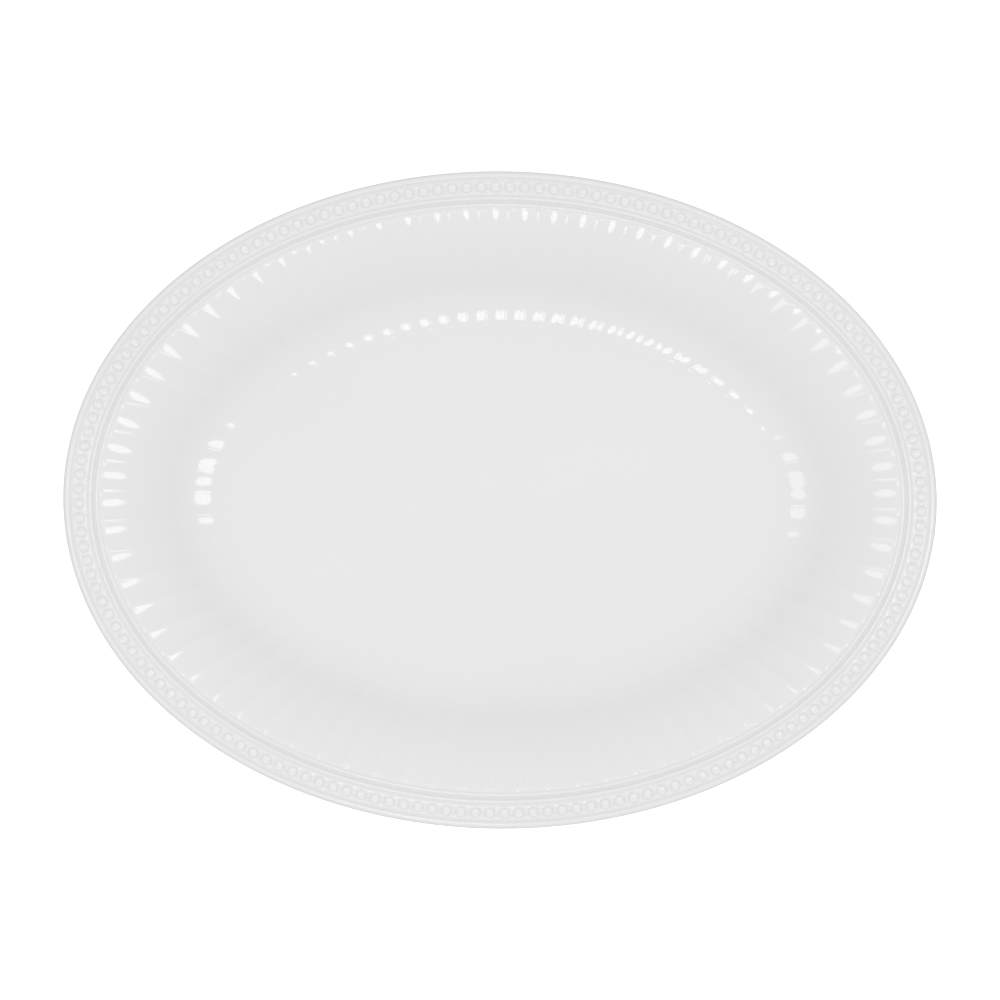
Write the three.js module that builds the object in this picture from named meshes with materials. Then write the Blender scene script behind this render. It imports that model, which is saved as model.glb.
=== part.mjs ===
// Oval china serving platter, in millimetres.
// +Z is up, +X runs along the platter's length, and the origin is on the table under its middle.
//
// The platter is one fired body. Its six moulded features are six closed solids that meet face to
// face: rim_lip, bead_border, rim_moulding, fluted_wall, well_floor and foot_ring.
import * as THREE from "three";

// Overall size
const LENGTH = 400;
const WIDTH = 301;
const HEIGHT = 32;

// Widths of the rim's bands, measured inwards from the outer edge
const LIP_END = 3.6;
const BEAD_BAND_END = 11;
const MOULDING_END = 16.8;

// The rim's levels, as depths below the top of the lip
const LIP_GROOVE_DEPTH = 0.65;
const BEAD_BAND_DEPTH = 0.85;
const MOULDING_START_DEPTH = 0.9;
const OUTER_RIDGE_DEPTH = 0.25;
const DEEP_GROOVE_DEPTH = 1.35;
const INNER_RIDGE_DEPTH = 0.6;
const FLUTE_START_DEPTH = 1.2;

// Rounded lip
const LIP_RADIUS = 2.2;
const LIP_ARC_DEGREES = [210, 180, 150, 120, 90]; // from below the outermost edge up to the crest

// Underside of the rim, as depths below the top of the lip
const LIP_UNDERSIDE_DEPTH = 5;
const BAND_UNDERSIDE_DEPTH = 5.6;
const RIM_THICKNESS = 5;

// Beads
const BEAD_COUNT = 160;
const BEAD_DIAMETER = 5;
const BEAD_HEIGHT = 0.75;
const BEAD_CENTRE = 7.2;
const BEAD_SHOULDER = 0.4; // half-width of the crown, as a share of the bead's radius

// The two raised rings and the groove between them, as distances in from the outer edge
const OUTER_RIDGE = 12.4;
const DEEP_GROOVE = 14;
const INNER_RIDGE = 15.4;

// Flutes
const FLUTE_COUNT = 72;
const FLUTE_RIDGE_HEIGHT = 0.76; // of the ridges between flutes, above the hollows
const FLUTE_PHASE = -0.19; // where the first ridge falls, in flutes
const FLUTE_EVEN_INSET = 19; // they are evenly spaced along the curve this far inside the edge
const RIDGE_RISE_END = 0.06; // share of the way down the wall where the ridges are full height
const RIDGE_FADE_END = 0.8; // share of the way down the wall where they have died out

// Well
const FLOOR_LENGTH = 260;
const FLOOR_WIDTH = 160;
const FLOOR_TOP = 10;
const FOOT_HEIGHT = 4.5;
const FLOOR_RINGS = [1, 0.5];
// How far down the wall each row of its surface lies, from the rim (0) to the floor (1)
const WALL_TOP_ROWS = [0, 0.06, 0.2, 0.4, 0.56, 0.72, 0.9, 1];
const WALL_BOTTOM_ROWS = [1, 0.9, 0.72, 0.54, 0.3, 0];
// Steepness of the wall against its steepest part, at shares of the way across it
const WALL_STEEPNESS = [
  [0, 0.35],
  [0.6, 1],
  [0.8, 0.5],
  [0.92, 0.33],
  [1, 0],
];

// Foot ring
const FOOT_INSET = 1; // from the floor's edge to the foot's outer face
const FOOT_TOP_WIDTH = 8;
const FOOT_BASE_WIDTH = 4;
const FOOT_EDGE = 0.6; // small bevel beside the bottom face

// Points around each kind of ring
const FLOOR_STEPS = 2 * FLUTE_COUNT;
const BEAD_COLUMNS = 3;
const FLUTE_COLUMNS = 3;

const outline = new THREE.EllipseCurve(0, 0, LENGTH / 2, WIDTH / 2, 0, 2 * Math.PI);
outline.arcLengthDivisions = 4000;

/** A point a share of the way round the rim, a distance in from the outer edge. */
function rimPoint(share, inset, z) {
  const turn = share - Math.floor(share);
  const edge = outline.getPointAt(turn);
  const along = outline.getTangentAt(turn);
  return new THREE.Vector3(edge.x - along.y * inset, edge.y + along.x * inset, z);
}

/** The point of the floor's edge that lies on the line from a rim point to the middle. */
function floorEdgeBelow(point) {
  const reach = Math.hypot(point.x / (FLOOR_LENGTH / 2), point.y / (FLOOR_WIDTH / 2));
  return new THREE.Vector3(point.x / reach, point.y / reach, FLOOR_TOP);
}

/** Drop from the top of the wall to a share of the way across it, before scaling. */
function fallTo(across) {
  let fall = 0;
  for (let i = 1; i < WALL_STEEPNESS.length; i += 1) {
    const [start, steepnessAtStart] = WALL_STEEPNESS[i - 1];
    const [end, steepnessAtEnd] = WALL_STEEPNESS[i];
    const stop = Math.min(across, end);
    if (stop <= start) break;
    const steepness = THREE.MathUtils.mapLinear(stop, start, end, steepnessAtStart, steepnessAtEnd);
    fall += ((stop - start) * (steepnessAtStart + steepness)) / 2;
  }
  return fall;
}

/** How much of the wall's drop is behind, a share of the way across it. */
function wallDrop(across) {
  return fallTo(across) / fallTo(1);
}

/** Direction of the outline at a share of the way round, turned from its direction at +X. */
function heading(turn) {
  const edge = outline.getPointAt(turn);
  const angle = Math.atan2((edge.y * LENGTH) / WIDTH, (edge.x * WIDTH) / LENGTH);
  return angle < 0 ? angle + 2 * Math.PI : angle;
}

/** Share of the outline beside a place a share of the way along the curve at an inset. */
function edgeShare(share, inset) {
  const turns = Math.floor(share);
  const innerLength = (share - turns) * (outline.getLength() - 2 * Math.PI * inset);
  let edge = share - turns;
  for (let i = 0; i < 30; i += 1) {
    edge = (innerLength + inset * heading(edge)) / outline.getLength();
  }
  return edge + turns;
}

/** Share of the way round of a flute position, counted in flutes. */
function fluteShare(flutes) {
  return edgeShare((flutes + FLUTE_PHASE) / FLUTE_COUNT, FLUTE_EVEN_INSET);
}

/** Share of the way round of a bead position, counted in beads. */
function beadShare(beads) {
  return edgeShare(beads / BEAD_COUNT, BEAD_CENTRE);
}

/** A ring of points; shareOf turns a step into a share of the way round. */
function ring(steps, shareOf, pointOf) {
  const shares = Array.from({ length: steps }, (_, i) => shareOf(i));
  return { shares, points: shares.map((share, i) => pointOf(share, i)) };
}

function rimRing(inset, z) {
  return ring(BEAD_COUNT, beadShare, (share) => rimPoint(share, inset, z));
}

/** A ring across the flutes or below them; across is 0 at the rim and 1 at the floor. */
function wallRing(columns, across, startZ, endZ, ridgeHeight) {
  const rise = THREE.MathUtils.smoothstep(across, 0, RIDGE_RISE_END);
  const heightHere = ridgeHeight * rise * Math.max(0, 1 - across / RIDGE_FADE_END);
  return ring(
    columns * FLUTE_COUNT,
    (i) => fluteShare(i / columns),
    (share, i) => {
      const start = rimPoint(share, MOULDING_END, startZ);
      const point = start.clone().lerp(floorEdgeBelow(start), across);
      const onRidge = i % columns === 0;
      point.z = startZ - (startZ - endZ) * wallDrop(across) + (onRidge ? heightHere : 0);
      return point;
    },
  );
}

/** Joins ring after ring with triangles, from either ring to whichever point comes next. */
function bridge(triangles, ringA, ringB, startA, startB) {
  const countA = ringA.points.length;
  const countB = ringB.points.length;
  const shareAt = (loop, i) => loop.shares[i % loop.shares.length] + Math.floor(i / loop.shares.length);
  let a = 0;
  let b = 0;
  while (a < countA || b < countB) {
    const stepA = b >= countB || (a < countA && shareAt(ringA, a + 1) <= shareAt(ringB, b + 1));
    const fromA = startA + (a % countA);
    const fromB = startB + (b % countB);
    if (stepA) {
      a += 1;
      triangles.push(fromA, fromB, startA + (a % countA));
    } else {
      b += 1;
      triangles.push(fromA, fromB, startB + (b % countB));
    }
  }
}

/** Fills a ring to one point in its middle; upward says which way the disc faces. */
function cap(triangles, positions, loop, start, upward) {
  const middle = positions.length;
  positions.push(new THREE.Vector3(0, 0, loop.points[0].z));
  const count = loop.points.length;
  for (let i = 0; i < count; i += 1) {
    const here = start + i;
    const next = start + ((i + 1) % count);
    triangles.push(middle, upward ? here : next, upward ? next : here);
  }
}

/**
 * A closed solid from rings in order. The section runs inwards over the top and outwards below.
 * It closes on itself, or is a disc with a cap at each end.
 */
function solid(name, loops, material, isDisc = false) {
  const positions = [];
  const triangles = [];
  const starts = loops.map((loop) => {
    const start = positions.length;
    positions.push(...loop.points);
    return start;
  });
  const joins = isDisc ? loops.length - 1 : loops.length;
  for (let i = 0; i < joins; i += 1) {
    const j = (i + 1) % loops.length;
    bridge(triangles, loops[j], loops[i], starts[j], starts[i]);
  }
  if (isDisc) {
    const last = loops.length - 1;
    cap(triangles, positions, loops[0], starts[0], false);
    cap(triangles, positions, loops[last], starts[last], true);
  }
  const geometry = new THREE.BufferGeometry().setFromPoints(positions);
  geometry.setIndex(triangles);
  geometry.computeVertexNormals();
  const mesh = new THREE.Mesh(geometry, material);
  mesh.name = name;
  return mesh;
}

// Rings that two neighbours share, so that they meet exactly
const lipGroove = rimRing(LIP_END, HEIGHT - LIP_GROOVE_DEPTH);
const lipGrooveBelow = rimRing(LIP_END, HEIGHT - LIP_UNDERSIDE_DEPTH);
const bandEdge = rimRing(BEAD_BAND_END, HEIGHT - MOULDING_START_DEPTH);
const bandEdgeBelow = rimRing(BEAD_BAND_END, HEIGHT - BAND_UNDERSIDE_DEPTH);
const wallStartZ = HEIGHT - FLUTE_START_DEPTH;
const wallStartZBelow = wallStartZ - RIM_THICKNESS;
const wallStart = wallRing(FLUTE_COLUMNS, 0, wallStartZ, FLOOR_TOP, 0);
const wallStartBelow = wallRing(1, 0, wallStartZBelow, FOOT_HEIGHT, 0);

function floorRing(scale, z, inset = 0) {
  return ring(
    FLOOR_STEPS,
    (i) => fluteShare(i / 2),
    (share) => {
      const edge = floorEdgeBelow(rimPoint(share, MOULDING_END, 0));
      const shrink = scale * (1 - inset / edge.length());
      return new THREE.Vector3(edge.x * shrink, edge.y * shrink, z);
    },
  );
}
const floorEdge = floorRing(1, FLOOR_TOP);
const floorEdgeUnder = floorRing(1, FOOT_HEIGHT);

function rimLip(material) {
  const below = rimRing(LIP_RADIUS, HEIGHT - LIP_UNDERSIDE_DEPTH);
  const arc = LIP_ARC_DEGREES.map((degrees) => {
    const angle = THREE.MathUtils.degToRad(degrees);
    const inset = LIP_RADIUS * (1 + Math.cos(angle));
    return rimRing(inset, HEIGHT - LIP_RADIUS * (1 - Math.sin(angle)));
  });
  return solid("rim_lip", [below, ...arc, lipGroove, lipGrooveBelow], material);
}

function beadRing(inset, heightShare) {
  return ring(
    BEAD_COLUMNS * BEAD_COUNT,
    (i) => beadShare(i / BEAD_COLUMNS),
    (share, i) => {
      const raised = i % BEAD_COLUMNS === 0 ? 0 : BEAD_HEIGHT * heightShare;
      return rimPoint(share, inset, HEIGHT - BEAD_BAND_DEPTH + raised);
    },
  );
}

function beadBorder(material) {
  const radius = BEAD_DIAMETER / 2;
  const rings = [-1, -BEAD_SHOULDER, BEAD_SHOULDER, 1].map((offset) =>
    beadRing(BEAD_CENTRE + offset * radius, Math.abs(offset) < 1 ? 1 : 0),
  );
  return solid("bead_border", [lipGroove, ...rings, bandEdge, bandEdgeBelow, lipGrooveBelow], material);
}

function rimMoulding(material) {
  const crests = [
    [OUTER_RIDGE, OUTER_RIDGE_DEPTH],
    [DEEP_GROOVE, DEEP_GROOVE_DEPTH],
    [INNER_RIDGE, INNER_RIDGE_DEPTH],
  ].map(([inset, depth]) => rimRing(inset, HEIGHT - depth));
  return solid("rim_moulding", [bandEdge, ...crests, wallStart, wallStartBelow, bandEdgeBelow], material);
}

function flutedWall(material) {
  const last = WALL_TOP_ROWS.length - 1;
  const top = WALL_TOP_ROWS.slice(1, last).map((across) =>
    wallRing(FLUTE_COLUMNS, across, wallStartZ, FLOOR_TOP, FLUTE_RIDGE_HEIGHT),
  );
  const under = WALL_BOTTOM_ROWS.slice(1, -1).map((across) =>
    wallRing(1, across, wallStartZBelow, FOOT_HEIGHT, 0),
  );
  const rings = [wallStart, ...top, floorEdge, floorEdgeUnder, ...under, wallStartBelow];
  return solid("fluted_wall", rings, material);
}

function wellFloor(material) {
  const under = FLOOR_RINGS.map((scale) => (scale === 1 ? floorEdgeUnder : floorRing(scale, FOOT_HEIGHT)));
  const top = FLOOR_RINGS.map((scale) => (scale === 1 ? floorEdge : floorRing(scale, FLOOR_TOP)));
  return solid("well_floor", [...under.reverse(), ...top], material, true);
}

function footRing(material) {
  const middle = FOOT_INSET + FOOT_TOP_WIDTH / 2;
  const face = (width, z) => [-1, 1].map((side) => floorRing(1, z, middle + (side * width) / 2));
  const [topOut, topIn] = face(FOOT_TOP_WIDTH, FOOT_HEIGHT);
  const [edgeOut, edgeIn] = face(FOOT_BASE_WIDTH + 2 * FOOT_EDGE, FOOT_EDGE);
  const [baseOut, baseIn] = face(FOOT_BASE_WIDTH, 0);
  return solid("foot_ring", [topOut, topIn, edgeIn, baseIn, baseOut, edgeOut], material);
}

const glaze = new THREE.MeshStandardMaterial({ color: 0xf3f3f0, roughness: 0.12, metalness: 0 });
const bareChina = new THREE.MeshStandardMaterial({ color: 0xece7de, roughness: 0.75, metalness: 0 });

const platter = new THREE.Group();
platter.add(
  rimLip(glaze),
  beadBorder(glaze),
  rimMoulding(glaze),
  flutedWall(glaze),
  wellFloor(glaze),
  footRing(bareChina),
);

export default platter;
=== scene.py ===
"""Oval china serving platter: fine relief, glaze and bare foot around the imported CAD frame."""
import math

import bpy
import numpy as np
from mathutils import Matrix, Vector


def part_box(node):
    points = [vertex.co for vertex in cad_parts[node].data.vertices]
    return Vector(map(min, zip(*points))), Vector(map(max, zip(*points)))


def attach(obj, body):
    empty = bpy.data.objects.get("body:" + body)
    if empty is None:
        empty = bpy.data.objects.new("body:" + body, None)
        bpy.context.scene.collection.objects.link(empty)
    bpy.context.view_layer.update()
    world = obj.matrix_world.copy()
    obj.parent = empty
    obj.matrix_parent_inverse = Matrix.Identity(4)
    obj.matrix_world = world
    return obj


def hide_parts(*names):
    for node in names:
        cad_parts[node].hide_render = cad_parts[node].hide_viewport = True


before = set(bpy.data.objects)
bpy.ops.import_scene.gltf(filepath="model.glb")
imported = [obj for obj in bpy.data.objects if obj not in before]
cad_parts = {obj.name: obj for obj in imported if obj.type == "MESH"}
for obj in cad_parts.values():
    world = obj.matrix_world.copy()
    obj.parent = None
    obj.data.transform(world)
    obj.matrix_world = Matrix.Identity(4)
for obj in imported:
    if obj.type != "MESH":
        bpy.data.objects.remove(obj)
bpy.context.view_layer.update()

MM = 0.001
BODY = "root"

# ---------------------------------------------------------------- sizes taken from the CAD nodes


def top_corner(node):
    """The highest corner of a CAD node, whose x and y are half its length and half its width."""
    return np.array(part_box(node)[1])


HALF_LENGTH, HALF_WIDTH, TOP = top_corner("rim_lip")
BAND_START = HALF_LENGTH - top_corner("bead_border")[0]
BAND_END = HALF_LENGTH - top_corner("rim_moulding")[0]
WALL_START = HALF_LENGTH - top_corner("fluted_wall")[0]
FLOOR_HALF_LENGTH, FLOOR_HALF_WIDTH, FLOOR_TOP = top_corner("well_floor")
FLOOR_UNDER = float(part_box("well_floor")[0][2])
WALL_TOP = top_corner("fluted_wall")[2]

# ---------------------------------------------------------------- shape of the relief

BEAD_COUNT = 160
BEAD_CENTRE = 7.2 * MM
BEAD_RADIUS = 2.35 * MM
BEAD_HEIGHT = 1.0 * MM
BEAD_FLATNESS = 2.2  # power of the radius in a pearl's dome: higher is flatter on top
BEAD_EDGE = 0.6  # power of the dome: lower is steeper at its edge
BEAD_RING_RADIUS = 2.95 * MM
BEAD_RING_HEIGHT = 0.1 * MM
BEAD_RING_WIDTH = 0.32 * MM
BEAD_MOAT_DEPTH = 0.12 * MM

# Crests and hollows of the rim from the lip's crest inwards: distance in, depth below the top.
# The pearls lie in the hollow at BEAD_CENTRE.
LIP_RADIUS = 2.2 * MM
RIM_KNOTS = [
    (LIP_RADIUS, 0.0),
    (BAND_START, 0.75 * MM),
    (BAND_START + 1.1 * MM, 0.42 * MM),
    (BEAD_CENTRE, 1.05 * MM),
    (BAND_END - 0.7 * MM, 0.6 * MM),
    (BAND_END, 0.85 * MM),
    (BAND_END + 1.4 * MM, 0.25 * MM),
    (BAND_END + 3.0 * MM, 1.4 * MM),
    (BAND_END + 4.4 * MM, 0.7 * MM),
    (WALL_START, TOP - WALL_TOP),
]
CREST_BREADTH = 1.3  # over 1 makes crests broad and hollows narrow
ROUNDING_SLACK = 1e-6 * MM  # so that rounding never puts the last knot out of reach

FLUTE_COUNT = 72
FLUTE_PHASE = -0.19  # where the first ridge stands, in flutes from the +X end
FLUTE_EVEN_INSET = 19 * MM  # the flutes are evenly spaced along the curve this far in
RIDGE_HEIGHT = 0.76 * MM
RIDGE_ROUNDING = 0.2  # share of half a flute that the rounded ridge takes at its head
RIDGE_ROUNDING_LOW = 0.9  # and where it sinks into the wall
RIDGE_SPLIT_DEPTH = 0.15  # fine groove along each ridge, as a share of the ridge's height
RIDGE_SPLIT_WIDTH = 0.06  # and of half a flute
RIDGE_RISE = 1.4 * MM  # distance from the moulding over which the ridges rise out of the wall
RIDGE_FADE_END = 0.76  # share of the way down the wall where they have sunk to their low end
RIDGE_LOW_HEIGHT = 0.17 * MM
RIDGE_LOW_END = 0.965  # share of the way down the wall where that low end starts to run out

# Steepness of the wall against its steepest part, at shares of the way across it
WALL_STEEPNESS = [(0, 0.35), (0.6, 1), (0.8, 0.5), (0.92, 0.33), (1, 0)]
STEEPNESS_BLEND = 0.05  # share of the wall over which one steepness passes into the next

RIM_UNDERSIDE = 5.0 * MM
BAND_UNDERSIDE = 5.6 * MM
WALL_THICKNESS = 5.0 * MM

FOOT_INSET = 1.0 * MM
FOOT_TOP_WIDTH = 8.0 * MM
FOOT_BASE_WIDTH = 4.0 * MM
FOOT_TOE_RADIUS = 0.5 * MM
FOOT_TOE_SHARE = 0.15  # share of the foot's height that its rounded edge takes
FOOT_COVE = 2.2  # over 1 hollows the sides of the foot

RECESS_REACH = 0.9 * MM  # how far round a spot its recess is judged
RECESS_FULL = 0.35 * MM  # recess at which the pooled glaze and the painted shade in hollows are full
FLUTE_POOL_SHADE_AND_LIGHT = 0.3  # pooling and painted shade in the flute hollows and painted light on the ridges, beside the full amount in the rim's grooves

# Mesh fineness
PLAN_POINTS = 40001
SECTION_POINTS = 2001
BLEND_SAMPLES = 41
LIP_COLUMNS = 4 * BEAD_COUNT
LIP_ROWS = 12
LIP_TURN_ROWS = 9
BEAD_STEPS = 16
BORDER_ROWS = 27
MOULDING_COLUMNS = 5 * BEAD_COUNT
MOULDING_ROWS = 40
RIM_UNDER_ROWS = 3
FLUTE_STEPS = 16
FLUTE_CROWDING = 0.72  # how strongly the columns of points crowd towards the ridges, below 1
WALL_HEAD_END = 0.1  # shares of the way across the wall where its rows of points change spacing
WALL_BEND_START = 0.8
WALL_HEAD_ROWS = 14
WALL_BODY_ROWS = 26
WALL_BEND_ROWS = 25
WALL_UNDER_ROWS = 16
FLOOR_THINNING = 8
FOOT_STEPS = 8
FOOT_COVE_ROWS = 9
FOOT_TOE_ROWS = 6

# ---------------------------------------------------------------- plan of the platter

table_angles = np.linspace(0, 2 * math.pi, PLAN_POINTS)
table_x = HALF_LENGTH * np.cos(table_angles)
table_y = HALF_WIDTH * np.sin(table_angles)
table_steps = np.hypot(np.diff(table_x), np.diff(table_y))
table_length = np.concatenate([[0], np.cumsum(table_steps)])
PERIMETER = table_length[-1]
table_heading = np.unwrap(
    np.arctan2(HALF_LENGTH * np.sin(table_angles), HALF_WIDTH * np.cos(table_angles))
)
BEAD_PITCH = (PERIMETER - 2 * math.pi * BEAD_CENTRE) / BEAD_COUNT


def inner_share(share, inset):
    """Share of the way along the curve at that inset, beside a share of the outer edge."""
    length = np.mod(share, 1) * PERIMETER
    heading = np.interp(length, table_length, table_heading)
    return (length - inset * heading) / (PERIMETER - 2 * math.pi * inset)


def edge_share(share, inset):
    """Share of the outer edge beside a share of the way along the curve at that inset."""
    inner_length = table_length - inset * table_heading
    return np.interp(np.mod(share, 1) * inner_length[-1], inner_length, table_length) / PERIMETER


def smooth(x):
    """0 to 1 with level ends."""
    x = np.clip(x, 0, 1)
    return x * x * (3 - 2 * x)


def rim_place(share, inset):
    """x and y, a share of the way round the rim and a distance in from its edge."""
    angle = np.interp(np.mod(share, 1) * PERIMETER, table_length, table_angles)
    across, along = HALF_WIDTH * np.cos(angle), HALF_LENGTH * np.sin(angle)
    scale = inset / np.hypot(across, along)
    return (
        HALF_LENGTH * np.cos(angle) - across * scale,
        HALF_WIDTH * np.sin(angle) - along * scale,
    )


def wall_place(share, across):
    """x and y on the wall: across is 0 at the rim and 1 at the floor, on lines to the middle."""
    x, y = rim_place(share, WALL_START)
    reach = np.hypot(x / FLOOR_HALF_LENGTH, y / FLOOR_HALF_WIDTH)
    stay = 1 - across + across / reach
    return x * stay, y * stay


def wall_width(share):
    """Distance from the rim to the floor along the line to the middle."""
    x0, y0 = wall_place(share, 0)
    x1, y1 = wall_place(share, 1)
    return np.hypot(x1 - x0, y1 - y0)


# ---------------------------------------------------------------- heights


def rim_depth(inset):
    """Depth of the plain rim below the top of the lip: a quarter round, then the knots' curve."""
    depth = np.zeros_like(inset)
    edge = inset < LIP_RADIUS
    out = np.clip(LIP_RADIUS - inset, 0, LIP_RADIUS)
    depth[edge] = (LIP_RADIUS - np.sqrt(LIP_RADIUS**2 - out**2))[edge]
    for (start, d0), (end, d1) in zip(RIM_KNOTS, RIM_KNOTS[1:]):
        here = (inset >= start) & (inset <= end + ROUNDING_SLACK)
        s = (inset - start) / (end - start)
        from_crest = s if d1 > d0 else 1 - s
        rise = smooth(from_crest) ** CREST_BREADTH
        depth = np.where(here, min(d0, d1) + abs(d1 - d0) * rise, depth)
    return depth


def bead_height(share, inset):
    """Height of the pearls and of the fine ring round each, above the plain rim."""
    around = inner_share(share, BEAD_CENTRE) * BEAD_COUNT - 0.5
    along = (around - np.round(around)) * BEAD_PITCH
    r = np.hypot(along, inset - BEAD_CENTRE)
    dome = np.clip(1 - (r / BEAD_RADIUS) ** BEAD_FLATNESS, 0, 1) ** BEAD_EDGE
    moat = np.exp(-(((r - BEAD_RADIUS) / BEAD_RING_WIDTH) ** 2))
    ring = np.exp(-(((r - BEAD_RING_RADIUS) / BEAD_RING_WIDTH) ** 2))
    return BEAD_HEIGHT * dome - BEAD_MOAT_DEPTH * moat + BEAD_RING_HEIGHT * ring


def rim_height(share, inset):
    return TOP - rim_depth(inset) + bead_height(share, inset)


def section_table():
    """Shares of the way across the wall, and the share of the drop behind at each."""
    across = np.linspace(0, 1, SECTION_POINTS)
    reach = STEEPNESS_BLEND / 2 * np.linspace(-1, 1, BLEND_SAMPLES)
    places, steepness = zip(*WALL_STEEPNESS)
    blended = np.mean([np.interp(across + r, places, steepness) for r in reach], axis=0)
    drop = np.concatenate([[0], np.cumsum((blended[1:] + blended[:-1]) / 2)])
    return across, drop / drop[-1]


SECTION_ACROSS, SECTION_DROP = section_table()


def wall_drop(across):
    return np.interp(across, SECTION_ACROSS, SECTION_DROP)


def ridge_shape(share, across):
    """0 along the middle of each hollow and about 1 on the ridge, which a fine groove splits."""
    turn = np.mod(inner_share(share, FLUTE_EVEN_INSET) * FLUTE_COUNT - FLUTE_PHASE, 1)
    off = np.abs(2 * turn - 1)
    sunk = smooth(across / RIDGE_FADE_END)
    rounding = RIDGE_ROUNDING + (RIDGE_ROUNDING_LOW - RIDGE_ROUNDING) * sunk
    edge = 1 - rounding
    edge_drop = 1 - edge**2
    steepness = 2 * edge * rounding / edge_drop
    s = (1 - off) / rounding
    rounded = 1 - edge_drop * ((3 - steepness) * s**2 + (steepness - 2) * s**3)
    split = RIDGE_SPLIT_DEPTH * np.exp(-(((1 - off) / RIDGE_SPLIT_WIDTH) ** 2))
    return np.where(off < edge, off**2, rounded) - split


def ridge_height(share, across):
    """Height of the ridges above the hollows: they rise at the heads and sink towards the floor."""
    rise = smooth(across * wall_width(share) / RIDGE_RISE)
    high = (RIDGE_HEIGHT - RIDGE_LOW_HEIGHT) * np.clip(1 - across / RIDGE_FADE_END, 0, 1)
    low = RIDGE_LOW_HEIGHT * (1 - smooth((across - RIDGE_LOW_END) / (1 - RIDGE_LOW_END)))
    return rise * (high + low)


def wall_height(share, across):
    hollow = WALL_TOP - (WALL_TOP - FLOOR_TOP) * wall_drop(across)
    return hollow + ridge_height(share, across) * ridge_shape(share, across)


# ---------------------------------------------------------------- meshes


def ring_points(x, y, z):
    """One row of points, from a number or a row of numbers for each direction."""
    return np.stack(np.broadcast_arrays(x, y, z), axis=-1)


def finish_mesh(name, points, faces, hard_edges, pool_shade_and_light):
    """Makes the object: smooth faces, hard corners where two pieces meet, and the glaze's pooling
    with painted shade in hollows and painted light on crests.
    """
    mesh = bpy.data.meshes.new(name)
    mesh.from_pydata(points.tolist(), [], faces)
    mesh.polygons.foreach_set("use_smooth", np.ones(len(mesh.polygons), bool))
    ends = np.empty(2 * len(mesh.edges), int)
    mesh.edges.foreach_get("vertices", ends)
    ends = ends.reshape(-1, 2)
    hard = mesh.attributes.new("sharp_edge", "BOOLEAN", "EDGE")
    hard.data.foreach_set("value", hard_edges[ends[:, 0]] & hard_edges[ends[:, 1]])
    # This value darkens hollows as painted shade and lightens crests as painted light in the glaze
    # colour, as well as marking pooled glaze.
    depth = mesh.attributes.new("glaze_pool_shade_and_light", "FLOAT", "POINT")
    depth.data.foreach_set("value", pool_shade_and_light.astype(np.float32))
    mesh.update()
    piece = bpy.data.objects.new(name, mesh)
    bpy.context.scene.collection.objects.link(piece)
    return piece


def ring_faces(first, second, columns):
    """Quads between two rings of points that start at those indices."""
    here = np.arange(columns)
    after = (here + 1) % columns
    return np.stack([first + here, first + after, second + after, second + here], 1).tolist()


def ring_solid(name, rings, hard_rows, pool_shade_and_light_rows):
    """A closed ring from rows of points: inwards over the top, then outwards below."""
    rows, columns = len(rings), len(rings[0])
    faces = []
    for i in range(rows):
        faces += ring_faces(i * columns, (i + 1) % rows * columns, columns)
    hard = np.zeros(rows * columns, bool)
    for row in hard_rows:
        hard[row * columns:(row + 1) * columns] = True
    pool_shade_and_light = np.concatenate([np.broadcast_to(p, columns) for p in pool_shade_and_light_rows])
    points = np.concatenate(rings)
    return finish_mesh(name, points, faces, hard, pool_shade_and_light)


def recess(share, inset):
    """How much a spot of the rim lies below its surroundings, from -1 to 1."""
    turn = RECESS_REACH / PERIMETER
    around = (
        rim_height(share, inset - RECESS_REACH) + rim_height(share, inset + RECESS_REACH)
        + rim_height(share - turn, inset) + rim_height(share + turn, inset)
    ) / 4
    return np.clip((around - rim_height(share, inset)) / RECESS_FULL, -1, 1)


def rim_shares(columns):
    """Shares of the outer edge beside evenly spaced places along the row of pearls."""
    return edge_share(np.arange(columns) / columns, BEAD_CENTRE)


def rim_rows(columns, insets):
    """Rows of points over the top of the rim, and how far the glaze pooling reaches at each, which
    also paints shade in the hollows and light on the crests.
    """
    share = rim_shares(columns)
    rows, pool_shade_and_light_rows = [], []
    for inset in insets:
        distance = np.full(columns, inset)
        x, y = rim_place(share, distance)
        rows.append(ring_points(x, y, rim_height(share, distance)))
        # The recess sets glaze pooling with painted shade in hollows and painted light on crests.
        pool_shade_and_light_rows.append(recess(share, distance))
    return rows, pool_shade_and_light_rows


def plain_rows(columns, places):
    """Rows of the underside: (distance in, depth below the top of the lip)."""
    share = rim_shares(columns)
    return [
        ring_points(*rim_place(share, np.full(columns, inset)), TOP - depth)
        for inset, depth in places
    ]


def underside_depth(inset):
    return np.interp(
        inset,
        [0, BAND_START, BAND_END, WALL_START],
        [RIM_UNDERSIDE, RIM_UNDERSIDE, BAND_UNDERSIDE, TOP - WALL_TOP + WALL_THICKNESS],
    )


def rim_piece(name, columns, start, end, rows):
    """A full-thickness stretch of the rim between two distances from the edge."""
    top, pool_shade_and_light_rows = rim_rows(columns, np.linspace(start, end, rows))
    below = [(i, underside_depth(i)) for i in np.linspace(end, start, RIM_UNDER_ROWS)]
    rings = top + plain_rows(columns, below)
    hard = [0, rows - 1, rows, len(rings) - 1]
    return ring_solid(name, rings, hard, pool_shade_and_light_rows + [0.0] * RIM_UNDER_ROWS)


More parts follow.
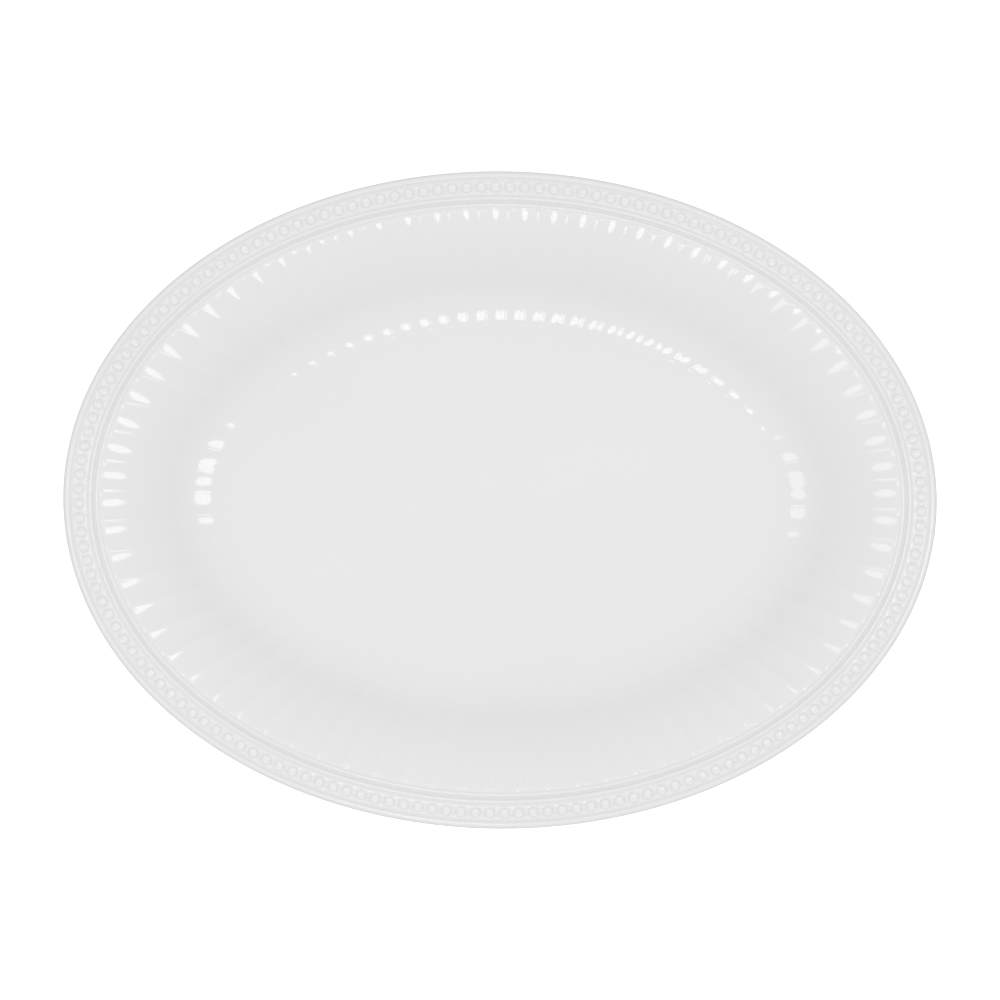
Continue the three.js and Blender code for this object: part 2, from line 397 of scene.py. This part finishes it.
def build_lip():
    """The rounded outer edge: one curve from the groove over the crest to the underside."""
    top_insets = np.concatenate([
        LIP_RADIUS * (1 - np.cos(np.linspace(0, math.pi / 2, LIP_ROWS))),
        np.linspace(LIP_RADIUS, BAND_START, LIP_ROWS)[1:],
    ])
    top, pool_shade_and_light_rows = rim_rows(LIP_COLUMNS, top_insets)
    turn = np.linspace(math.pi / 2, 0, LIP_TURN_ROWS)[1:-1]
    below = [
        (LIP_RADIUS * (1 - math.cos(a)), LIP_RADIUS + (RIM_UNDERSIDE - LIP_RADIUS) * math.sin(a))
        for a in turn
    ]
    flat = [(i, RIM_UNDERSIDE) for i in (BAND_START, LIP_RADIUS)]
    under = plain_rows(LIP_COLUMNS, flat + below)
    rings = top + under
    inner_top = len(top) - 1
    return ring_solid("rolled_lip", rings, [inner_top, inner_top + 1], pool_shade_and_light_rows + [0.0] * len(under))


def flute_shares(steps):
    """Shares round the platter, closer together beside each ridge."""
    t = np.arange(steps) / steps
    crowded = t - FLUTE_CROWDING * np.sin(2 * math.pi * t) / (2 * math.pi)
    flutes = np.arange(FLUTE_COUNT)[:, None] + crowded[None, :] + FLUTE_PHASE
    return edge_share(flutes.ravel() / FLUTE_COUNT, FLUTE_EVEN_INSET)


def build_wall():
    """The fluted wall, with finer rows of points at the heads of the ridges and at the bend."""
    share = flute_shares(FLUTE_STEPS)
    head = np.linspace(0, WALL_HEAD_END, WALL_HEAD_ROWS)[:-1]
    body = np.linspace(WALL_HEAD_END, WALL_BEND_START, WALL_BODY_ROWS)[:-1]
    bend = np.linspace(WALL_BEND_START, 1, WALL_BEND_ROWS)
    top, pool_shade_and_light_rows = [], []
    for across in np.concatenate([head, body, bend]):
        x, y = wall_place(share, across)
        top.append(ring_points(x, y, wall_height(share, across)))
        # Flute hollows get pooled glaze with painted shade, and ridges get painted light.
        lowness = 1 - 2 * ridge_shape(share, across)
        pool_shade_and_light_rows.append(FLUTE_POOL_SHADE_AND_LIGHT * lowness * ridge_height(share, across) / RIDGE_HEIGHT)
    under = []
    under_top = WALL_TOP - WALL_THICKNESS
    for across in np.linspace(1, 0, WALL_UNDER_ROWS):
        x, y = wall_place(share, across)
        under.append(ring_points(x, y, under_top - (under_top - FLOOR_UNDER) * wall_drop(across)))
    rings = top + under
    hard = [0, len(top) - 1, len(top), len(rings) - 1]
    return ring_solid("fluted_wall_glazed", rings, hard, pool_shade_and_light_rows + [0.0] * len(under))


def build_floor():
    """The flat well: rings of points that thin out inwards, on both faces."""
    share = flute_shares(FLUTE_STEPS)
    edge_x, edge_y = wall_place(share, 1)
    columns = len(share)
    few = columns // FLOOR_THINNING
    fine_scales = [1, 0.995, 0.985, 0.97, 0.95]
    coarse_scales = [0.92, 0.85, 0.75, 0.62, 0.48, 0.34, 0.2, 0.08]
    points, faces, starts, sizes = [], [], [], []

    def add_ring(scale, z, step):
        starts.append(sum(sizes))
        sizes.append(columns // step)
        points.append(ring_points(edge_x[::step] * scale, edge_y[::step] * scale, z))

    def thin_faces(fine_start, coarse_start, facing_up):
        for i in range(few):
            first_point = i * FLOOR_THINNING
            fine = [fine_start + (first_point + k) % columns for k in range(FLOOR_THINNING + 1)]
            face = fine + [coarse_start + (i + 1) % few, coarse_start + i]
            faces.append(face if facing_up else face[::-1])

    for z, facing_up in ((FLOOR_TOP, True), (FLOOR_UNDER, False)):
        first = len(starts)
        for scale in fine_scales:
            add_ring(scale, z, 1)
        for scale in coarse_scales:
            add_ring(scale, z, FLOOR_THINNING)
        last_fine = first + len(fine_scales) - 1
        for i in range(first, len(starts) - 1):
            if i == last_fine:
                thin_faces(starts[i], starts[i + 1], facing_up)
                continue
            quads = ring_faces(starts[i], starts[i + 1], sizes[i])
            faces.extend(quads if facing_up else [q[::-1] for q in quads])
        middle = list(range(starts[-1], starts[-1] + few))
        faces.append(middle if facing_up else middle[::-1])
    under_edge = starts[len(fine_scales) + len(coarse_scales)]
    faces.extend(q[::-1] for q in ring_faces(0, under_edge, columns))
    everything = np.concatenate(points)
    hard = np.zeros(len(everything), bool)
    hard[:columns] = True
    hard[under_edge:under_edge + columns] = True
    return finish_mesh("well_floor_glazed", everything, faces, hard, np.zeros(len(everything)))


def build_foot():
    """The turned foot: coved where it meets the underside, rounded where it stands."""
    share = flute_shares(FOOT_STEPS)
    edge_x, edge_y = wall_place(share, 1)
    reach = np.hypot(edge_x, edge_y)
    middle = FOOT_INSET + FOOT_TOP_WIDTH / 2
    half_base = FOOT_BASE_WIDTH / 2
    half_side = half_base + FOOT_TOE_RADIUS
    toe_height = FLOOR_UNDER * FOOT_TOE_SHARE
    cove = [
        (half_side + (FOOT_TOP_WIDTH / 2 - half_side) * c**FOOT_COVE,
         toe_height + (FLOOR_UNDER - toe_height) * c)
        for c in np.linspace(1, 0, FOOT_COVE_ROWS)
    ]
    toe = [
        (half_base + FOOT_TOE_RADIUS * math.cos(a), toe_height * (1 - math.sin(a)))
        for a in np.linspace(0, math.pi / 2, FOOT_TOE_ROWS)[1:]
    ]
    down = cove + toe
    profile = [(middle + half, z) for half, z in down]
    profile += [(middle - half, z) for half, z in down[::-1]]
    rings = []
    for inset, z in profile:
        shrink = 1 - inset / reach
        rings.append(ring_points(edge_x * shrink, edge_y * shrink, z))
    last = len(rings) - 1
    return ring_solid("foot_ring_bare", rings, [0, last], [0.0] * len(rings))


# ---------------------------------------------------------------- materials


NOISE_LOW, NOISE_HIGH = 0.3, 0.7
# A mix node has sockets for every kind of value: the places of a, b and the result.
MIX_SOCKETS = {"RGBA": (6, 7, 2), "FLOAT": (2, 3, 0)}


class Nodes:
    """A material's node tree with short ways to add to it."""

    def __init__(self, name):
        self.material = bpy.data.materials.new(name)
        self.material.use_nodes = True
        self.tree = self.material.node_tree
        self.shader = self.tree.nodes["Principled BSDF"]
        self.place = self.tree.nodes.new("ShaderNodeTexCoord").outputs["Object"]

    def add(self, kind, inputs=None, **settings):
        node = self.tree.nodes.new(kind)
        for key, value in settings.items():
            setattr(node, key, value)
        for key, value in (inputs or {}).items():
            self.put(node.inputs[key], value)
        return node

    def put(self, socket, value):
        if isinstance(value, bpy.types.NodeSocket):
            self.tree.links.new(value, socket)
        else:
            socket.default_value = value

    def noise(self, scale, detail=2.0, roughness=0.5):
        inputs = {"Vector": self.place, "Scale": scale, "Detail": detail, "Roughness": roughness}
        return self.add("ShaderNodeTexNoise", inputs).outputs["Fac"]

    def ramp(self, value, low, high, to_low=0.0, to_high=1.0):
        inputs = {
            "Value": value,
            "From Min": low,
            "From Max": high,
            "To Min": to_low,
            "To Max": to_high,
        }
        return self.add("ShaderNodeMapRange", inputs, clamp=True).outputs["Result"]

    def spread_noise(self, noise, to_low=0.0, to_high=1.0):
        """Stretches the part of a noise that nearly all its values lie in."""
        return self.ramp(noise, NOISE_LOW, NOISE_HIGH, to_low, to_high)

    def mix(self, share, a, b, kind="RGBA"):
        """Passes from a to b: two colours, or two numbers where the kind is FLOAT."""
        node = self.add("ShaderNodeMix", data_type=kind)
        first, second, result = MIX_SOCKETS[kind]
        self.put(node.inputs[0], share)
        self.put(node.inputs[first], a)
        self.put(node.inputs[second], b)
        return node.outputs[result]

    def combine(self, operation, a, b):
        node = self.add("ShaderNodeMath", operation=operation)
        self.put(node.inputs[0], a)
        self.put(node.inputs[1], b)
        return node.outputs[0]

    def bump(self, height, distance, strength=1.0, before=None):
        inputs = {"Height": height, "Distance": distance, "Strength": strength}
        if before is not None:
            inputs["Normal"] = before
        return self.add("ShaderNodeBump", inputs).outputs["Normal"]


GLAZE_WHITE = (0.76, 0.76, 0.758, 1)
# Lighter glaze for crests: thin glaze with painted light.
GLAZE_THIN_LIT = (0.785, 0.783, 0.778, 1)
# Darker, cooler glaze for hollows: pooled glaze with painted shade.
GLAZE_POOLED_SHADE = (0.70, 0.705, 0.71, 1)
SPECK_GREY = (0.42, 0.40, 0.37, 1)
BARE_CHINA = (0.70, 0.66, 0.60, 1)
BARE_STAIN = (0.50, 0.46, 0.41, 1)

# Noise scales are per metre: a feature is roughly one over the scale across.
GLAZE_IOR = 1.5
GLAZE_SMOOTH, GLAZE_HAZY = 0.05, 0.1
HAZE_SCALE = 60.0
DRIFT_SCALE = 9.0
DRIFT_DARKENING = 0.985
# Painted shade where glaze has pooled in hollows.
POOLED_SHADE_START, POOLED_SHADE_FULL, POOLED_SHADE_TINT = 0.1, 1.0, 0.3
# Painted light where the glaze is thin on crests.
THIN_LIT_START, THIN_LIT_FULL, THIN_LIT_TINT = -0.1, -0.9, 0.7
SPECK_CELLS = 70.0
SPECK_EDGE, SPECK_CORE = 0.022, 0.012
SPECK_CHANCE_START, SPECK_CHANCE_FULL = 0.985, 0.99  # only cells with a chance past these
SPECK_STRENGTH = 0.4
WAVE_SCALE, WAVE_HEIGHT, WAVE_STRENGTH = 18.0, 0.2 * MM, 0.15
SKIN_SCALE, SKIN_HEIGHT, SKIN_STRENGTH = 420.0, 0.012 * MM, 0.5

GLAZE_LINE = 1.5 * MM  # height on the foot where the glaze stops
GLAZE_LINE_BLUR = 0.15 * MM
GLAZE_LINE_WOBBLE = 0.35 * MM
GLAZE_LINE_SCALE = 55.0
GLAZE_STEP_HEIGHT, GLAZE_STEP_STRENGTH = 0.15 * MM, 0.8
FOOT_ROUGHNESS, FOOT_GLAZE_ROUGHNESS = 0.78, 0.14
STAIN_SCALE = 140.0
STAIN_START, STAIN_FULL, STAIN_STRENGTH = 0.45, 0.75, 0.45
GRAIN_SCALE, GRAIN_HEIGHT, GRAIN_STRENGTH = 1500.0, 0.05 * MM, 0.6


def glaze_colour(nodes):
    """White with slow drift, darker where glaze has pooled with painted shade in the hollows, lighter
    where it is thin with painted light on the crests, rare specks.
    """
    drift = nodes.spread_noise(nodes.noise(DRIFT_SCALE, 3.0))
    drifted = tuple(c * DRIFT_DARKENING for c in GLAZE_WHITE[:3]) + (1,)
    base = nodes.mix(drift, GLAZE_WHITE, drifted)
    pool_shade_and_light = nodes.add("ShaderNodeAttribute", attribute_name="glaze_pool_shade_and_light").outputs["Fac"]
    # Pooled glaze with painted shade darkens the hollows.
    pooled_shade = nodes.ramp(pool_shade_and_light, POOLED_SHADE_START, POOLED_SHADE_FULL, 0.0, POOLED_SHADE_TINT)
    # Thin glaze with painted light lightens the crests.
    thin_lit = nodes.ramp(pool_shade_and_light, THIN_LIT_START, THIN_LIT_FULL, 0.0, THIN_LIT_TINT)
    base = nodes.mix(thin_lit, nodes.mix(pooled_shade, base, GLAZE_POOLED_SHADE), GLAZE_THIN_LIT)
    cells = nodes.add("ShaderNodeTexVoronoi", {"Vector": nodes.place, "Scale": SPECK_CELLS})
    dot = nodes.ramp(cells.outputs["Distance"], SPECK_EDGE, SPECK_CORE)
    chance = nodes.add("ShaderNodeSeparateColor", {"Color": cells.outputs["Color"]}).outputs["Red"]
    chosen = nodes.ramp(chance, SPECK_CHANCE_START, SPECK_CHANCE_FULL, 0.0, SPECK_STRENGTH)
    return nodes.mix(nodes.combine("MULTIPLY", dot, chosen), base, SPECK_GREY)


def glaze_normal(nodes):
    """Slow waves from the mould and kiln, and the fine skin of a fired glaze."""
    waves = nodes.bump(nodes.noise(WAVE_SCALE, 1.0), WAVE_HEIGHT, WAVE_STRENGTH)
    return nodes.bump(nodes.noise(SKIN_SCALE), SKIN_HEIGHT, SKIN_STRENGTH, waves)


def glaze_material(name):
    nodes = Nodes(name)
    haze = nodes.spread_noise(nodes.noise(HAZE_SCALE, 4.0, 0.6), GLAZE_SMOOTH, GLAZE_HAZY)
    nodes.put(nodes.shader.inputs["Base Color"], glaze_colour(nodes))
    nodes.put(nodes.shader.inputs["Roughness"], haze)
    nodes.put(nodes.shader.inputs["IOR"], GLAZE_IOR)
    nodes.put(nodes.shader.inputs["Normal"], glaze_normal(nodes))
    return nodes.material


def foot_material(name):
    """Glaze runs down the foot and stops in a wavy line above the bare standing edge."""
    nodes = Nodes(name)
    height = nodes.add("ShaderNodeSeparateXYZ", {"Vector": nodes.place}).outputs["Z"]
    line_noise = nodes.noise(GLAZE_LINE_SCALE, 3.0)
    wobble = nodes.spread_noise(line_noise, -GLAZE_LINE_WOBBLE, GLAZE_LINE_WOBBLE)
    wobbled = nodes.combine("ADD", height, wobble)
    glazed = nodes.ramp(wobbled, GLAZE_LINE - GLAZE_LINE_BLUR, GLAZE_LINE + GLAZE_LINE_BLUR)
    stain_noise = nodes.noise(STAIN_SCALE, 5.0, 0.65)
    stain = nodes.ramp(stain_noise, STAIN_START, STAIN_FULL, 0.0, STAIN_STRENGTH)
    bare = nodes.mix(stain, BARE_CHINA, BARE_STAIN)
    roughness = nodes.mix(glazed, FOOT_ROUGHNESS, FOOT_GLAZE_ROUGHNESS, "FLOAT")
    nodes.put(nodes.shader.inputs["Base Color"], nodes.mix(glazed, bare, GLAZE_WHITE))
    nodes.put(nodes.shader.inputs["Roughness"], roughness)
    grain = nodes.bump(nodes.noise(GRAIN_SCALE, 3.0, 0.7), GRAIN_HEIGHT, GRAIN_STRENGTH)
    step = nodes.bump(glazed, GLAZE_STEP_HEIGHT, GLAZE_STEP_STRENGTH, grain)
    nodes.put(nodes.shader.inputs["Normal"], step)
    return nodes.material


# ---------------------------------------------------------------- the pieces


def place_piece(piece, material, node):
    piece.data.materials.append(material)
    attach(piece, BODY)
    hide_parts(node)


glaze = glaze_material("white_glaze_finish")
bare_foot = foot_material("bare_foot_finish")

place_piece(build_lip(), glaze, "rim_lip")
place_piece(
    rim_piece("pearl_border", BEAD_COUNT * BEAD_STEPS, BAND_START, BAND_END, BORDER_ROWS),
    glaze, "bead_border",
)
place_piece(
    rim_piece("double_moulding", MOULDING_COLUMNS, BAND_END, WALL_START, MOULDING_ROWS),
    glaze, "rim_moulding",
)
place_piece(build_wall(), glaze, "fluted_wall")
place_piece(build_floor(), glaze, "well_floor")
place_piece(build_foot(), bare_foot, "foot_ring")

# ---------------------------------------------------------------- floor, light and camera

STAGE_SIZE = 12.0
STAGE_GREY = 0.9
STAGE_ROUGHNESS = 0.9
STAGE_GLOW = 0.45
LAMP_HEIGHT = 1.5
CAMERA_LENS = 150.0
SENSOR = 36.0
CAMERA_ROLL = math.radians(0.53)
PLATTER_SHARE_OF_FRAME = 0.8736


def build_stage_floor():
    """A matt white table top that the platter doesn't reflect and takes no light from."""
    half = STAGE_SIZE / 2
    corners = [(-half, -half, 0), (half, -half, 0), (half, half, 0), (-half, half, 0)]
    mesh = bpy.data.meshes.new("studio_floor")
    mesh.from_pydata(corners, [], [(0, 1, 2, 3)])
    floor = bpy.data.objects.new("studio_floor", mesh)
    bpy.context.scene.collection.objects.link(floor)
    nodes = Nodes("studio_floor_white")
    nodes.put(nodes.shader.inputs["Base Color"], (STAGE_GREY, STAGE_GREY, STAGE_GREY, 1))
    nodes.put(nodes.shader.inputs["Roughness"], STAGE_ROUGHNESS)
    nodes.put(nodes.shader.inputs["Specular IOR Level"], 0.0)
    nodes.put(nodes.shader.inputs["Emission Color"], (1, 1, 1, 1))
    nodes.put(nodes.shader.inputs["Emission Strength"], STAGE_GLOW)
    mesh.materials.append(nodes.material)
    floor.visible_diffuse = False
    floor.visible_glossy = False


def soft_light(name, place, size, radiance):
    """An oval softbox that hangs level over the table, with an even face of the given radiance."""
    data = bpy.data.lights.new(name, "AREA")
    data.shape = "ELLIPSE"
    data.size, data.size_y = size
    face_area = math.pi * size[0] * size[1] / 4
    data.energy = radiance * math.pi * face_area
    lamp = bpy.data.objects.new(name, data)
    lamp.location = (*place, LAMP_HEIGHT)
    bpy.context.scene.collection.objects.link(lamp)


def build_world(zenith, horizon):
    """White surroundings, brightest overhead and level from the horizon down."""
    world = bpy.data.worlds.new("soft_studio")
    world.use_nodes = True
    tree = world.node_tree
    place = tree.nodes.new("ShaderNodeTexCoord")
    split = tree.nodes.new("ShaderNodeSeparateXYZ")
    ramp = tree.nodes.new("ShaderNodeMapRange")
    ramp.inputs["To Min"].default_value = horizon
    ramp.inputs["To Max"].default_value = zenith
    tree.links.new(place.outputs["Generated"], split.inputs[0])
    tree.links.new(split.outputs["Z"], ramp.inputs["Value"])
    tree.links.new(ramp.outputs["Result"], tree.nodes["Background"].inputs["Strength"])
    tree.nodes["Background"].inputs["Color"].default_value = (1, 1, 1, 1)
    bpy.context.scene.world = world


def build_camera():
    """Straight above the platter, with its length across most of the picture."""
    data = bpy.data.cameras.new("overhead")
    data.lens = CAMERA_LENS
    data.sensor_width = SENSOR
    view_width = 2 * HALF_LENGTH / PLATTER_SHARE_OF_FRAME
    camera = bpy.data.objects.new("overhead", data)
    camera.location = (0, 0, TOP - LIP_RADIUS + view_width * CAMERA_LENS / SENSOR)
    camera.rotation_euler = (0, 0, CAMERA_ROLL)
    bpy.context.scene.collection.objects.link(camera)
    bpy.context.scene.camera = camera


build_stage_floor()
build_world(zenith=1.08, horizon=0.68)
soft_light("softbox_left", (-0.63, -0.08), (0.48, 0.36), 2.3)
soft_light("softbox_right", (0.58, -0.10), (0.56, 0.32), 3.6)
soft_light("softbox_near", (-0.10, -0.50), (0.26, 0.34), 4.1)
build_camera()
bpy.context.scene.view_settings.view_transform = "Standard"
